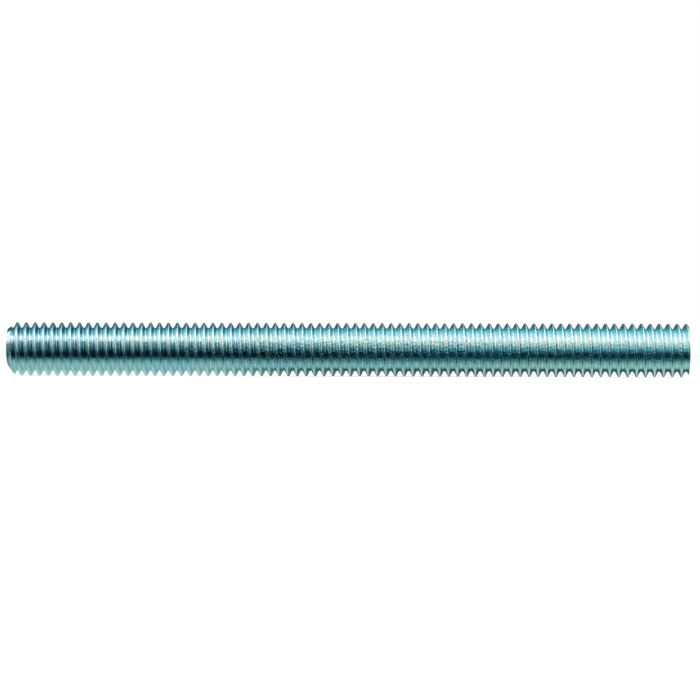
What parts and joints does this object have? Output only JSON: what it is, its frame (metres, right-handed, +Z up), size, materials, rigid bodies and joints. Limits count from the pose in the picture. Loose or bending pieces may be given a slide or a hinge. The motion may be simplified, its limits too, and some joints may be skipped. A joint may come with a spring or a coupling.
{
  "type": "threaded rod",
  "caption": "Straight steel rod with a fine right-hand screw thread along its whole length, one end chamfered to start a nut, the other cut off square.",
  "frame": {"origin": "centre of the chamfered lead face, on the rod's axis", "axes": "+X along the axis from the lead face to the cut face, +Z up, seen from -Y as in the picture"},
  "size_m": [0.0763, 0.006, 0.006],
  "materials": {
    "zinc_plated_steel": "bright zinc plate with a blue-green tint, lightly speckled"
  },
  "bodies": {
    "root": {"threaded_rod": "zinc_plated_steel"}
  },
  "joints": []
}
